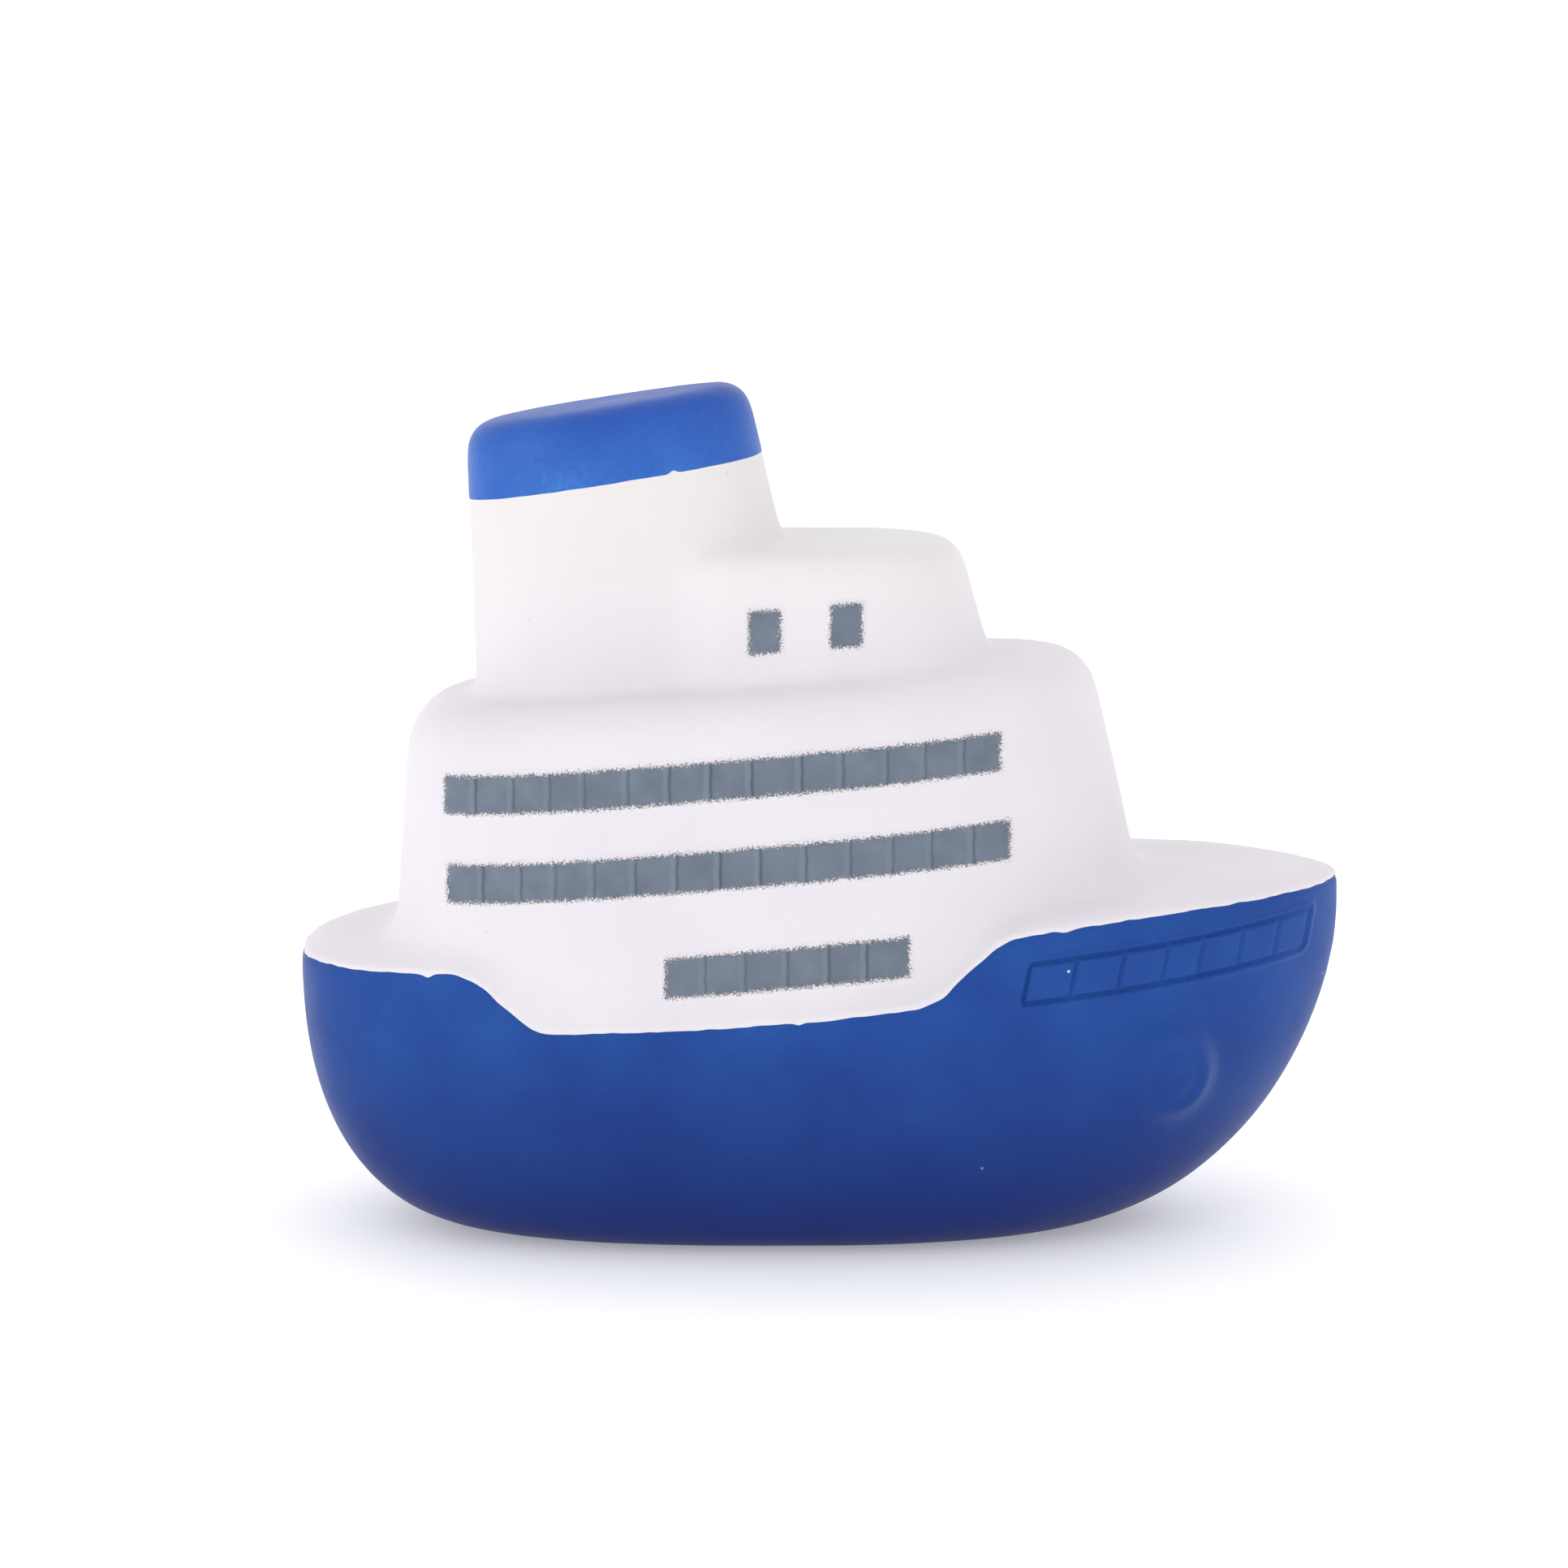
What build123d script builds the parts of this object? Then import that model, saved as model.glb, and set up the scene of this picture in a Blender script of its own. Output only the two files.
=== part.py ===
"""Toy passenger ship: a hollow soft-vinyl floating squeeze toy.

Millimetres, +Z up. +X points to the bow, +Y to port. The origin is on the table,
under the middle of the hull's length and beam.
"""
from build123d import *
from functools import cache
import math
import os

os.makedirs("parts", exist_ok=True)

# ---- driving dimensions ------------------------------------------------------
STERN_X = -50.0
BOW_X = 50.0
HALF_BEAM = 23.0
MIDSHIP_X = -5.0
BOW_FULL_Z = 31.0          # height at which the bow has its full length
STERN_FULL_Z = 24.0        # height at which stern and sides are full
HULL_TOP_Z = 37.0          # the hull form is made to here, then cut to the rim line

FOOT_AFT_X = -28.0         # flat patch that the toy stands on
FOOT_FORE_X = 22.0
FOOT_HALF = 11.0

HULL_WALL = 2.0
TOP_WALL = 1.6
INLAY = 0.4                # thickness of the window inlays
GROOVE_DEPTH = 0.25
GROOVE_WIDTH = 0.4

SHEER = 0.08               # rise per mm toward the bow of windows and house roof
RIM_FILLET = 2.0
DECK_LIP = 1.2             # the white moulding's edge stands this high over the rim

HOUSE_FOOT_Z = 23.0
HOUSE_HEAD_Z = 62.0
HOUSE_ROOF_Z = 54.1        # at X = 0
HOUSE_ROOF_FILLET = 4.6

BRIDGE_FOOT_Z = 50.0
BRIDGE_HEAD_Z = 72.0
BRIDGE_ROOF_Z = 66.3
BRIDGE_ROOF_FILLET = 2.8

FUNNEL_FOOT_Z = 50.0
FUNNEL_HEAD_Z = 88.0
FUNNEL_TILT = 0.158        # rise per mm of the funnel's top and bands
FUNNEL_TOP_Z = 82.5        # these three heights are at X = 0
CAP_LINE_Z = 75.45
COLLAR_LINE_Z = 66.4
FUNNEL_TOP_FILLET = 2.6

WINDOW_HEIGHT = 3.75
UPPER_WINDOWS = (-35.3, 16.6, 44.8)    # aft end, fore end, height of the sill at X = 0
LOWER_WINDOWS = (-35.0, 17.5, 36.6)
SIDE_WINDOWS = (-14.6, 8.1, 27.1)
BRIDGE_WINDOWS = (-5.4, 2.2)           # centres
BRIDGE_SILL_Z = 57.1
BRIDGE_WINDOW_WIDTH = 3.2
BRIDGE_WINDOW_HEIGHT = 4.25

RELIEF_AFT_X = 18.0                    # raised window strip on the bow's flanks
RELIEF_FORE_X = 45.9
RELIEF_Z = 25.1                        # height of its lower edge at the aft end
RELIEF_RISE = 0.094
RELIEF_HEIGHT = 4.3
RELIEF_LEAN = 0.2
RELIEF_BARS = (18.0, 22.7, 27.2, 31.4, 34.8, 38.7, 42.3, 45.9)
DISC_X = 32.4                          # oval boss on the bow's flanks
DISC_Z = 18.0
DISC_HALF_LENGTH = 4.8
DISC_HALF_HEIGHT = 5.3
DISC_RISE = 0.45

PLUG_X = -4.0
PLUG_RADIUS = 8.0
PLUG_FLANGE_RADIUS = 10.0
PLUG_FLANGE = 1.4
PLUG_RECESS = 0.6          # the plug's face lies this far above the table
PLUG_TOP_Z = 7.0
PLUG_GAP = 0.1
BOSS_RADIUS = 12.5         # ring moulded inside the hull around the plug's hole
BOSS_TOP_Z = 6.0
AIR_HOLE = 1.5
SQUEAKER_RADIUS = 5.6
SQUEAKER_WALL = 1.0
SQUEAKER_FOOT_Z = 1.6
SQUEAKER_HEIGHT = 6.0
REED_Z = 4.6
REED_LENGTH = 6.6
REED_WIDTH = 4.0
REED_THICKNESS = 0.3
REED_GAP = 0.15
REED_ROOT_X = 3.6          # from the plug's axis
REED_LEDGE_X = 2.6
REED_FOOT = 1.4

BALLAST_LENGTH = 56.0
BALLAST_WIDTH = 24.0
BALLAST_HEIGHT = 3.6

STAND = (Align.CENTER, Align.CENTER, Align.MIN)
OUTLINE_STEPS = 7         # spline points along each quarter of a plan outline
FAR = 200.0


# ---- shared forms ------------------------------------------------------------
def plan_outline(z, aft, fore, half, middle, aft_powers, fore_powers):
    """Closed plan curve: a superellipse with its own powers fore and aft."""
    points = []
    for k in range(4 * OUTLINE_STEPS):
        angle = math.pi - k * math.pi / (2 * OUTLINE_STEPS)
        ahead = math.cos(angle) > 0
        reach = (fore if ahead else aft) - middle
        m, n = fore_powers if ahead else aft_powers
        u = math.sin(abs(math.cos(angle)) * math.pi / 2)
        width = half * (1 - u**m) ** (1 / n)
        points.append((middle + u * reach, math.copysign(width, math.sin(angle)), z))
    return Face(Wire([Spline(*points, periodic=True).edge()]))


def side_extrusion(outline, side=0):
    """Outline in side view, made solid right across, or on the side of -1 or +1 only."""
    face = make_face(Plane.XZ * outline)
    if side == 0:
        return extrude(face, amount=FAR, both=True)
    return Pos(0, side * FAR / 2, 0) * extrude(face, amount=FAR / 2, both=True)


def side_prism(points, side=0):
    """Polygon drawn in side view, made solid as side_extrusion does."""
    return side_extrusion(Polyline(*points, close=True), side)


def under_line(height, tilt):
    """Everything below the plane that passes height at X = 0 and rises by tilt."""
    low, high = height - tilt * FAR, height + tilt * FAR
    return side_prism([(-FAR, -FAR), (FAR, -FAR), (FAR, high), (-FAR, low)])


# ---- hull form ---------------------------------------------------------------
def bulge(share, m, n):
    """Quarter superellipse: 0 at the bottom of a curved side, 1 at full width."""
    share = min(1.0, max(0.0, share))
    return (1 - (1 - share) ** m) ** (1 / n)


def hull_section(z, inset):
    """Plan outline of the hull at height z, with the skin moved in by inset."""
    side = bulge((z - inset) / (STERN_FULL_Z - inset), 2.0, 2.6)
    stern = bulge((z - inset) / (STERN_FULL_Z - inset), 2.0, 3.0)
    bow = bulge((z - inset) / (BOW_FULL_Z - inset), 1.8, 2.1)
    aft = FOOT_AFT_X + stern * (STERN_X + inset - FOOT_AFT_X)
    fore = FOOT_FORE_X + bow * (BOW_X - inset - FOOT_FORE_X)
    half = FOOT_HALF + side * (HALF_BEAM - inset - FOOT_HALF)
    return plan_outline(z, aft, fore, half, MIDSHIP_X, (2.6, 2.6), (2.6 + 0.6 * bow, 2.0 - 0.6 * bow))


@cache
def hull_form(inset=0.0):
    """The whole hull as one solid, up to HULL_TOP_Z."""
    shares = [0.0, 0.012, 0.045, 0.11, 0.22, 0.36, 0.54, 0.74, 1.0]
    heights = [inset + s * (BOW_FULL_Z - inset) for s in shares] + [HULL_TOP_Z]
    return loft([hull_section(z, inset) for z in heights])


def rim_points(lift):
    """Side view of the line where blue meets white, stern to bow, raised by lift."""
    line = [
        (-FAR, 26.6), (-47.0, 26.8), (-40.0, 27.4), (-34.5, 27.8), (-31.5, 27.3),
        (-29.0, 25.2), (-27.0, 23.6), (-25.0, 22.9), (-16.0, 23.1), (-1.0, 24.0),
        (8.0, 25.0), (10.5, 25.6), (12.5, 27.4), (14.0, 29.0), (16.0, 30.9),
        (18.5, 31.8), (29.0, 33.0), (40.0, 33.7), (FAR, 34.2),
    ]
    return [(x, z + lift) for x, z in line]


def under_rim(lift=0.0):
    """Everything below the rim line, whose corners are rounded."""
    points = rim_points(lift)
    line = FilletPolyline(*points, radius=RIM_FILLET)
    rest = Polyline(points[-1], (FAR, -FAR), (-FAR, -FAR), points[0])
    return side_extrusion(Curve() + [line, rest])


# ---- superstructure forms ----------------------------------------------------
def house_section(z, inset):
    aft = -41.2 + 0.071 * (z - HOUSE_FOOT_Z) + inset
    fore = 33.2 - 0.235 * (z - HOUSE_FOOT_Z) - inset
    half = 22.0 - 0.115 * (z - HOUSE_FOOT_Z) - inset
    return plan_outline(z, aft, fore, half, -8.0, (3.2, 3.2), (2.3, 2.3))


@cache
def house_form(inset=0.0):
    body = loft([house_section(HOUSE_FOOT_Z, inset), house_section(HOUSE_HEAD_Z, inset)], ruled=True)
    body &= under_line(HOUSE_ROOF_Z - inset, SHEER)
    top = body.faces().sort_by(Axis.Z)[-1]
    return fillet(top.edges(), HOUSE_ROOF_FILLET - inset)


def bridge_section(z, inset):
    aft = -14.6 + inset
    fore = 17.6 - 0.28 * (z - BRIDGE_FOOT_Z) - inset
    half = 13.6 - 0.09 * (z - BRIDGE_FOOT_Z) - inset
    return plan_outline(z, aft, fore, half, -2.0, (4.0, 4.0), (2.6, 2.6))


@cache
def bridge_form(inset=0.0):
    body = loft([bridge_section(BRIDGE_FOOT_Z, inset), bridge_section(BRIDGE_HEAD_Z, inset)], ruled=True)
    body &= under_line(BRIDGE_ROOF_Z - inset, 0.0)
    top = body.faces().sort_by(Axis.Z)[-1]
    return fillet(top.edges(), BRIDGE_ROOF_FILLET - 0.5 * inset)


def funnel_section(z, inset):
    aft = -33.0 - 0.026 * (z - FUNNEL_FOOT_Z) + inset
    fore = 0.2 - 0.24 * (z - FUNNEL_FOOT_Z) - inset
    half = 11.2 - 0.07 * (z - FUNNEL_FOOT_Z) - inset
    middle = (aft + fore) / 2
    return plan_outline(z, aft, fore, half, middle, (2.5, 2.5), (2.5, 2.5))


@cache
def funnel_form(inset=0.0):
    body = loft([funnel_section(FUNNEL_FOOT_Z, inset), funnel_section(FUNNEL_HEAD_Z, inset)], ruled=True)
    body &= under_line(FUNNEL_TOP_Z - inset, FUNNEL_TILT)
    top = body.faces().sort_by(Axis.Z)[-1]
    return fillet(top.edges(), FUNNEL_TOP_FILLET - 0.5 * inset)



# ---- mouldings ---------------------------------------------------------------
def skin_patch(form, patch, outer, inner):
    """The layer of a form between two insets, kept only within a patch."""
    return (form(outer) & patch) - form(inner)


def relief_point(along, up):
    """Side-view point on the bow strip: along 0..1 from aft, up in mm from its foot."""
    x = RELIEF_AFT_X + along * (RELIEF_FORE_X - RELIEF_AFT_X)
    return (x + RELIEF_LEAN * up, RELIEF_Z + RELIEF_RISE * (x - RELIEF_AFT_X) + up)


def relief_grooves(side):
    """Frame lines and pane lines of the moulded window strip on one flank."""
    width = GROOVE_WIDTH / (RELIEF_FORE_X - RELIEF_AFT_X)
    lines = []
    for up in (0.0, RELIEF_HEIGHT - GROOVE_WIDTH):
        ends = [(0, up), (1, up), (1, up + GROOVE_WIDTH), (0, up + GROOVE_WIDTH)]
        lines.append([relief_point(*end) for end in ends])
    for bar in RELIEF_BARS:
        a = (1 - width) * (bar - RELIEF_AFT_X) / (RELIEF_FORE_X - RELIEF_AFT_X)
        ends = [(a, 0), (a + width, 0), (a + width, RELIEF_HEIGHT), (a, RELIEF_HEIGHT)]
        lines.append([relief_point(*end) for end in ends])
    grooves = side_prism(lines[0], side)
    for corners in lines[1:]:
        grooves += side_prism(corners, side)
    return grooves


def bow_disc(side):
    """Oval boss standing off the bow's flank."""
    outline = Pos(DISC_X, DISC_Z) * Ellipse(DISC_HALF_LENGTH, DISC_HALF_HEIGHT)
    return side_extrusion(outline.edge(), side)


def hull_shell():
    shell = hull_form()
    for side in (-1, 1):
        shell += skin_patch(hull_form, bow_disc(side), -DISC_RISE, HULL_WALL / 2)
        shell -= relief_grooves(side) - hull_form(GROOVE_DEPTH)
    shell &= under_rim()
    shell -= hull_form(HULL_WALL)
    boss = Pos(PLUG_X, 0, HULL_WALL / 2) * Cylinder(BOSS_RADIUS, BOSS_TOP_Z - HULL_WALL / 2, align=STAND)
    shell += boss
    shell -= Pos(PLUG_X, 0, -1) * Cylinder(PLUG_RADIUS + PLUG_GAP, BOSS_TOP_Z + 2, align=STAND)
    shell -= Pos(PLUG_X, 0, -1) * Cylinder(
        PLUG_FLANGE_RADIUS + PLUG_GAP, 1 + PLUG_RECESS + PLUG_FLANGE + PLUG_GAP, align=STAND)
    return shell


def upper_form():
    """The white moulding's outside: deck, house, bridge and funnel in one."""
    deck = hull_form() & under_rim(DECK_LIP)
    form = deck + house_form() + bridge_form() + funnel_form()
    return form - under_rim()


def upper_cavity():
    """The air space under the white moulding's walls."""
    return house_form(TOP_WALL) + bridge_form(TOP_WALL) + funnel_form(TOP_WALL)


def funnel_over(height):
    """The funnel wall above one of its tilted lines."""
    return funnel_form() - under_line(height, FUNNEL_TILT)


def window_strip(form, aft, fore, sill, side, height=WINDOW_HEIGHT):
    """Thin inlay that follows the wall, its sill rising toward the bow."""
    corners = [
        (aft, sill + SHEER * aft), (fore, sill + SHEER * fore),
        (fore, sill + SHEER * fore + height), (aft, sill + SHEER * aft + height),
    ]
    return skin_patch(form, side_prism(corners, side), 0.0, INLAY)


def windows():
    """Name and solid of every window inlay."""
    made = {}
    half = BRIDGE_WINDOW_WIDTH / 2
    for side, hand in ((-1, "starboard"), (1, "port")):
        made[f"upper_windows_{hand}"] = window_strip(house_form, *UPPER_WINDOWS, side)
        made[f"lower_windows_{hand}"] = window_strip(house_form, *LOWER_WINDOWS, side)
        made[f"side_windows_{hand}"] = window_strip(house_form, *SIDE_WINDOWS, side)
        for x, place in zip(BRIDGE_WINDOWS, ("aft", "fore")):
            made[f"bridge_window_{place}_{hand}"] = window_strip(
                bridge_form, x - half, x + half, BRIDGE_SILL_Z, side, BRIDGE_WINDOW_HEIGHT)
    return made


# ---- squeaker, plug and ballast ----------------------------------------------
def base_plug():
    flange = Pos(PLUG_X, 0, PLUG_RECESS) * Cylinder(PLUG_FLANGE_RADIUS, PLUG_FLANGE, align=STAND)
    stem = Pos(PLUG_X, 0, PLUG_RECESS) * Cylinder(PLUG_RADIUS, PLUG_TOP_Z - PLUG_RECESS, align=STAND)
    plug = flange + stem
    plug -= Pos(PLUG_X, 0, SQUEAKER_FOOT_Z) * Cylinder(SQUEAKER_RADIUS, FAR, align=STAND)
    plug -= Pos(PLUG_X, 0, 0) * Cylinder(AIR_HOLE, FAR, align=STAND)
    return plug


def squeaker_body():
    """Cup with an air hole in its floor and a ledge that carries the reed's root."""
    body = Pos(PLUG_X, 0, SQUEAKER_FOOT_Z) * Cylinder(SQUEAKER_RADIUS, SQUEAKER_HEIGHT, align=STAND)
    room = Cylinder(SQUEAKER_RADIUS - SQUEAKER_WALL, SQUEAKER_HEIGHT, align=STAND)
    room -= Pos(SQUEAKER_RADIUS / 2 + REED_LEDGE_X, 0, 0) * Box(
        SQUEAKER_RADIUS, FAR, REED_Z - REED_GAP - SQUEAKER_FOOT_Z - SQUEAKER_WALL, align=STAND)
    body -= Pos(PLUG_X, 0, SQUEAKER_FOOT_Z + SQUEAKER_WALL) * room
    body -= Pos(PLUG_X, 0, 0) * Cylinder(AIR_HOLE, SQUEAKER_FOOT_Z + 1.5 * SQUEAKER_WALL, align=STAND)
    return body


def squeaker_reed():
    """Thin tongue, hinged at the ledge, that lies over the air hole."""
    middle = PLUG_X + REED_ROOT_X - REED_LENGTH / 2
    return Pos(middle, 0, REED_Z) * Box(REED_LENGTH, REED_WIDTH, REED_THICKNESS, align=STAND)


def squeaker_cap():
    """Lid with a slot, and a foot that keeps the reed's root on its ledge."""
    cap_z = SQUEAKER_FOOT_Z + SQUEAKER_HEIGHT
    cap = Pos(PLUG_X, 0, cap_z) * Cylinder(SQUEAKER_RADIUS, SQUEAKER_WALL, align=STAND)
    foot_z = REED_Z + REED_THICKNESS + REED_GAP
    foot_x = PLUG_X + REED_LEDGE_X + REED_FOOT / 2
    cap += Pos(foot_x, 0, foot_z) * Box(REED_FOOT, REED_WIDTH, cap_z - foot_z, align=STAND)
    return cap - Pos(PLUG_X - 1.0, 0, cap_z) * Box(REED_WIDTH, AIR_HOLE, 4 * SQUEAKER_WALL)


def ballast(end):
    """Steel block on the hull's floor, behind (-1) or ahead (+1) of the plug's boss."""
    block = hull_form(HULL_WALL) & Pos(PLUG_X, 0, 0) * Box(
        BALLAST_LENGTH, BALLAST_WIDTH, 2 * (HULL_WALL + BALLAST_HEIGHT))
    block -= Pos(PLUG_X, 0, 0) * Cylinder(BOSS_RADIUS + PLUG_GAP, FAR)
    return block & Pos(PLUG_X + end * FAR / 2, 0, 0) * Box(FAR, FAR, FAR)


# ---- build -------------------------------------------------------------------


def build():
    parts = windows()
    upper = upper_form() - upper_cavity() - funnel_over(COLLAR_LINE_Z)
    upper -= list(parts.values())
    collar = funnel_over(COLLAR_LINE_Z) - funnel_form(TOP_WALL)
    parts["upper_shell"] = upper
    parts["funnel_collar"] = collar & under_line(CAP_LINE_Z, FUNNEL_TILT)
    parts["funnel_cap"] = collar - under_line(CAP_LINE_Z, FUNNEL_TILT)
    parts["hull_shell"] = hull_shell()
    parts["base_plug"] = base_plug()
    parts["squeaker_body"] = squeaker_body()
    parts["squeaker_reed"] = squeaker_reed()
    parts["squeaker_cap"] = squeaker_cap()
    parts["ballast_aft"] = ballast(-1)
    parts["ballast_fore"] = ballast(1)
    for name, shape in parts.items():
        export_step(shape, f"parts/{name}.step")
        box = shape.bounding_box()
        sizes = [round(v, 2) for v in (*box.min, *box.max)]
        print(name, shape.is_valid, len(shape.solids()), round(shape.volume, 1), sizes)


build()
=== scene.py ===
"""Looks of the toy ship: smooth vinyl skin, painted windows, moulded relief, studio.

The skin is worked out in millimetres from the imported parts, then scaled to metres.
"""

import math

import bmesh
import bpy
import numpy as np
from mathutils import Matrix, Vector, noise
from mathutils.bvhtree import BVHTree


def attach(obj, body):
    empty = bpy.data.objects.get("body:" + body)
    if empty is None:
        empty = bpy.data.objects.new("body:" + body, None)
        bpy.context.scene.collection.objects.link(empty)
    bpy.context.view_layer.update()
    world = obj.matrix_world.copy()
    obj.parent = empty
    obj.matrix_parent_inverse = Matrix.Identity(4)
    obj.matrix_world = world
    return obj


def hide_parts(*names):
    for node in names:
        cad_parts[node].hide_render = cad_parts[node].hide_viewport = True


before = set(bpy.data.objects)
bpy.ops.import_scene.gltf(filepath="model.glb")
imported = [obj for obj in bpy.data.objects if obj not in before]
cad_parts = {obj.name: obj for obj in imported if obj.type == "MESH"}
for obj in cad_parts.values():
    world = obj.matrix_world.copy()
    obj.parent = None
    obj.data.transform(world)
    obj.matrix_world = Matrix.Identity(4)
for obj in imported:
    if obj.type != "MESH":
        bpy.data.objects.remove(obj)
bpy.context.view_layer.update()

# ---- sizes, in millimetres -----------------------------------------------------
MM = 0.001
VOXEL = 0.55               # grain of the first skin
CAVITY_VOXEL = 1.1
SOFTEN_STEPS = 14          # rounds the moulding's edges and inside corners
LEDGE_STEPS = 40           # more rounding where the house runs out into the ledge
CAVITY_STEPS = 4
FINE_STEPS = 3

SHEER = 0.08               # rise per mm toward the bow
FUNNEL_TILT = 0.158
CAP_LINE_Z = 75.45         # at X = 0
COLLAR_LINE_Z = 66.4
COLLAR_REACH = 0.9         # the collar ends this far outside the funnel's wall
FUNNEL_BASE_Z = 50.0
FUNNEL_AFT = (-33.0, -0.026)    # each at the funnel's base, and change per mm of height
FUNNEL_FORE = (0.2, -0.24)
FUNNEL_HALF_WIDTH = (11.2, -0.07)
WALL = 1.8

PLUG_X = -4.0
PLUG_BORE = 8.1
FLANGE_BORE = 10.1
FLANGE_TOP_Z = 2.1
BOSS_RADIUS = 12.4
BOSS_TOP_Z = 6.3

WINDOW_MARGIN = 0.6        # unpainted edge that a window patch carries round its paint
PATCH_STEP = 0.125
PATCH_THICKNESS = 0.35
PATCH_SOFTEN_STEPS = 14
PATCH_CORNER = 0.35
STRIPS = {                 # node: aft end, fore end, sill height at X = 0, height, ribs
    "upper_windows": (-35.3, 16.6, 44.8, 3.75, (
        -32.5, -28.9, -25.5, -22.3, -18.3, -14.5, -10.7, -6.9, -2.3, 1.5, 5.6, 9.1, 12.7)),
    "lower_windows": (-35.0, 17.5, 36.6, 3.8, (
        -31.8, -28.2, -25.0, -21.4, -17.6, -13.8, -9.8, -6.1, -1.9, 2.2, 6.1, 9.7, 13.6)),
    "side_windows": (-14.7, 8.1, 27.05, 3.85, (-11.2, -7.5, -3.6, 0.2, 3.7)),
    "bridge_window_aft": (-7.0, -3.8, 57.1, 4.25, ()),
    "bridge_window_fore": (0.6, 3.8, 57.1, 4.25, ()),
}

RELIEF_AFT_X = 18.0
RELIEF_FORE_X = 45.9
RELIEF_Z = 25.1
RELIEF_RISE = 0.094
RELIEF_HEIGHT = 4.3
RELIEF_LEAN = 0.2
RELIEF_CORNER = 0.7
RELIEF_BARS = (22.7, 27.2, 31.4, 34.8, 38.7, 42.3)
DISC_X = 32.4
DISC_Z = 18.0
DISC_RADIUS_X = 4.8
DISC_RADIUS_Z = 5.3
DISC_RISE = 1.0

CAMERA_DISTANCE = 430.0
CAMERA_PITCH = math.radians(9.5)
CAMERA_AIM = (-3.6, 0.0, 42.4)
FOCAL_PER_WIDTH = 2.849    # focal length over image width
FLOOR_REACH = 60.0         # metres
FLOOR_Z = -0.05
STUDIO_LIGHT = [           # axis, from, to, brightness at each: white behind, less at right and top
    ("Y", -0.5, 0.3, 1.03, 1.2),
    ("X", -1.0, 1.0, 0.0, -0.03),
    ("Z", 0.1, 1.0, 0.0, -0.24),
]

RIM_LINE = [               # side view of the line where blue meets white, stern to bow
    (-60.0, 26.6), (-49.6, 26.9), (-46.6, 27.2), (-42.4, 27.4), (-37.5, 27.6), (-34.3, 27.9),
    (-32.6, 27.4), (-31.0, 26.5), (-30.4, 25.7), (-28.7, 24.4), (-26.6, 22.9), (-25.4, 22.6),
    (-22.0, 22.7), (-8.0, 23.5), (-1.0, 24.0), (6.0, 24.8), (8.8, 25.2), (11.1, 26.1),
    (12.3, 27.6), (14.8, 29.7), (15.8, 30.7), (17.4, 31.6), (22.8, 32.4), (32.4, 33.2),
    (42.5, 33.6), (49.2, 33.7), (60.0, 33.8),
]

RIM_NICKS = [(-36.6, 0.5, 0.3), (-2.2, 0.4, 0.2), (22.4, 0.9, 0.25)]   # place, width, drop
CAP_NICK = (-13.9, 0.35, 0.28)                                        # place, width, rise


# ---- small mathematics ---------------------------------------------------------
def smoothstep(low, high, x):
    t = np.clip((x - low) / (high - low), 0.0, 1.0)
    return t * t * (3 - 2 * t)


def hump(x, width):
    """1 on the line x = 0, falling away over about width."""
    return np.exp(-((x / width) ** 2))


def inside_box(u, v, width, height, corner):
    """Distance inside (positive) a rectangle with round corners, 0..width by 0..height."""
    du = np.abs(u - width / 2) - width / 2 + corner
    dv = np.abs(v - height / 2) - height / 2 + corner
    outside = np.hypot(np.maximum(du, 0), np.maximum(dv, 0))
    return corner - outside - np.minimum(np.maximum(du, dv), 0)


def wobble(points, pitch, seed):
    """Smooth random field of about -1 to 1, with features about pitch apart."""
    shift = Vector((seed * 17.3, seed * 5.1, -seed * 9.7))
    return np.array([noise.noise(Vector(p) / pitch + shift) for p in points.tolist()])


def rim_height(x):
    """Height of the colour line, its corners rounded by averaging along the hull."""
    xs, zs = np.array(RIM_LINE).T
    spread = np.linspace(-0.5, 0.5, 5)
    return np.mean([np.interp(x + s, xs, zs) for s in spread], axis=0)


# ---- mesh tools ----------------------------------------------------------------
def new_object(name, mesh):
    made = bpy.data.objects.new(name, mesh)
    bpy.context.scene.collection.objects.link(made)
    return made


def mesh_from(bm, name):
    """Turns a bmesh into a mesh, and frees it."""
    mesh = bpy.data.meshes.new(name)
    bm.to_mesh(mesh)
    bm.free()
    return mesh


def points_of(mesh):
    flat = np.empty(len(mesh.vertices) * 3)
    mesh.vertices.foreach_get("co", flat)
    return flat.reshape(-1, 3)


def set_points(mesh, points):
    mesh.vertices.foreach_set("co", points.ravel())
    mesh.update()


def normals_of(mesh):
    flat = np.empty(len(mesh.vertices) * 3)
    mesh.vertex_normals.foreach_get("vector", flat)
    return flat.reshape(-1, 3)


def relax(mesh, steps, where=1.0):
    """Moves each point halfway to the middle of its neighbours, where asked."""
    points = points_of(mesh)
    ends = np.empty(len(mesh.edges) * 2, dtype=np.int64)
    mesh.edges.foreach_get("vertices", ends)
    a, b = ends.reshape(-1, 2).T
    count = np.maximum(np.bincount(ends, minlength=len(points)), 1)
    for _ in range(steps):
        for axis in range(3):
            value = points[:, axis]
            total = np.bincount(a, value[b], len(points)) + np.bincount(b, value[a], len(points))
            points[:, axis] = value + 0.5 * where * (total / count - value)
    set_points(mesh, points)


def refine(mesh, near):
    """Halves every edge whose two ends are both in the part of the skin that near picks."""
    picked = near(points_of(mesh))
    bm = bmesh.new()
    bm.from_mesh(mesh)
    bm.verts.ensure_lookup_table()
    edges = [e for e in bm.edges if picked[e.verts[0].index] and picked[e.verts[1].index]]
    bmesh.ops.subdivide_edges(bm, edges=edges, cuts=1, use_grid_fill=True)
    bmesh.ops.triangulate(bm, faces=[f for f in bm.faces if len(f.verts) > 4])
    bm.to_mesh(mesh)
    bm.free()


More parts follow.
